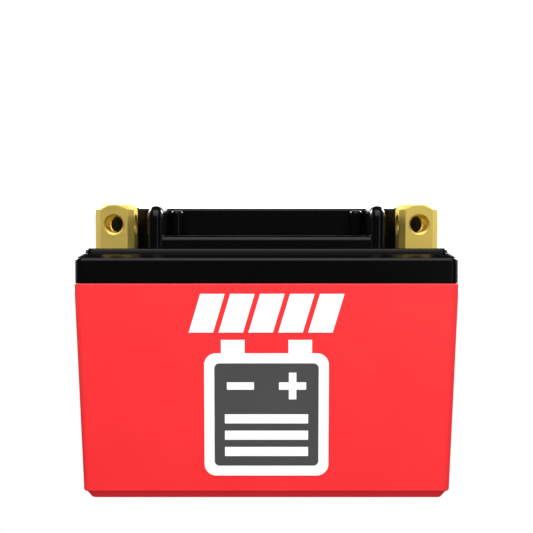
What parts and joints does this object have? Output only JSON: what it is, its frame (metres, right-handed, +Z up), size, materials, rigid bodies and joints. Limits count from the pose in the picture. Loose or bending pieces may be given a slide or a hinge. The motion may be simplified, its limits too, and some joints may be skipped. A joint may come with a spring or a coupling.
{
  "type": "motorcycle battery",
  "caption": "Small motorcycle starter battery with a drafted red case, a stepped black lid with a strap recess, and cross-drilled brass terminal blocks.",
  "frame": {"origin": "centre of the footprint, on the surface the battery stands on", "axes": "+X along the width towards the positive terminal, -Y towards the front with the terminals, +Z up"},
  "size_m": [0.114, 0.071, 0.0884],
  "materials": {
    "red_plastic": "satin moulded plastic",
    "black_plastic": "gloss moulded plastic",
    "brass": "machined with a fine satin grain",
    "white_film": "printed film",
    "grey_film": "printed film",
    "sealant": "cured sealant",
    "seal_rubber": "smooth",
    "steel": "zinc plated",
    "copper": "rolled copper sheet",
    "cell_can": "nickel plated",
    "sleeve_film": "shrunk film",
    "insulator_ring": "pressed paper",
    "holder_plastic": "moulded",
    "nickel": "rolled strip",
    "insulating_sheet": "pressed fibre",
    "foam": "closed-cell foam",
    "circuit_board": "solder mask",
    "spacer_nylon": "moulded nylon",
    "chip_epoxy": "moulded epoxy",
    "plug_nylon": "moulded nylon",
    "wire_jacket": "extruded jacket"
  },
  "bodies": {
    "root": {"case": "red_plastic", "lid": "black_plastic", "terminal_positive": "brass", "terminal_negative": "brass", "label_bars": "white_film", "label_symbol": "white_film", "label_panel": "grey_film", "lid_seal": "sealant", "terminal_seals": "seal_rubber", "terminal_washers": "steel", "terminal_screws": "steel", "positive_lead": "copper", "negative_lead": "copper", "cell_1": "cell_can", "cell_2": "cell_can", "cell_3": "cell_can", "cell_4": "cell_can", "cell_5": "cell_can", "cell_6": "cell_can", "cell_7": "cell_can", "cell_8": "cell_can", "cell_sleeves": "sleeve_film", "cell_rings": "insulator_ring", "lower_cell_holder": "holder_plastic", "upper_cell_holder": "holder_plastic", "positive_strip": "nickel", "negative_strip": "nickel", "upper_link_strip": "nickel", "lower_link_strip_right": "nickel", "lower_link_strip_left": "nickel", "upper_insulator": "insulating_sheet", "lower_insulator": "insulating_sheet", "front_foam_pad": "foam", "rear_foam_pad": "foam", "board_foam_pad": "foam", "balance_board": "circuit_board", "board_spacers": "spacer_nylon", "board_screws": "steel", "balance_chips": "chip_epoxy", "bleed_resistors": "chip_epoxy", "wire_plug": "plug_nylon", "sense_wires": "wire_jacket"}
  },
  "joints": []
}
